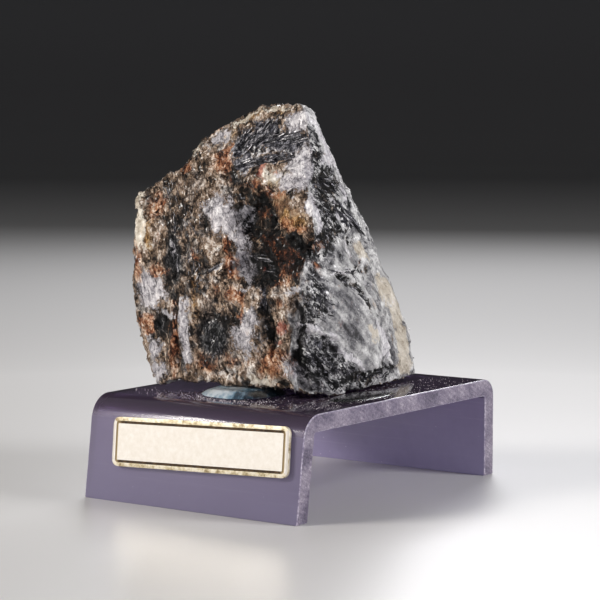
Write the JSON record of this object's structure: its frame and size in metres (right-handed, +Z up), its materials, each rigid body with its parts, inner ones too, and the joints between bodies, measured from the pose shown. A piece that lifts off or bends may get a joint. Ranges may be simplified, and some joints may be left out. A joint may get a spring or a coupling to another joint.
{
  "type": "stibnite in quartz specimen on an acrylic display stand",
  "caption": "Rough block of quartz veined with stibnite, glued to a bent tinted acrylic bridge stand with a blank brass label plate on its front leg.",
  "frame": {"origin": "bottom centre of the whole object's box, on the plane that both leg ends stand on", "axes": "+Z up; the labelled front leg faces -Y; +X is to the right seen from the front, across the width of the stand"},
  "size_m": [0.0664, 0.0817, 0.09],
  "materials": {
    "acrylic": "clear sheet with a light violet tint, polished faces and frosted sawn edges",
    "stibnite_rock": "rough broken quartz with metallic grey-black stibnite blades and rust stains",
    "label_brass": "fine brushed pale gold with an engraved border",
    "glue": "milky blue-grey set adhesive",
    "clear_glue": "thin clear set adhesive"
  },
  "bodies": {
    "root": {"acrylic_stand": "acrylic", "stibnite_specimen": "stibnite_rock", "label_plate": "label_brass", "glue_pad": "glue", "glue_film": "clear_glue"}
  },
  "joints": []
}
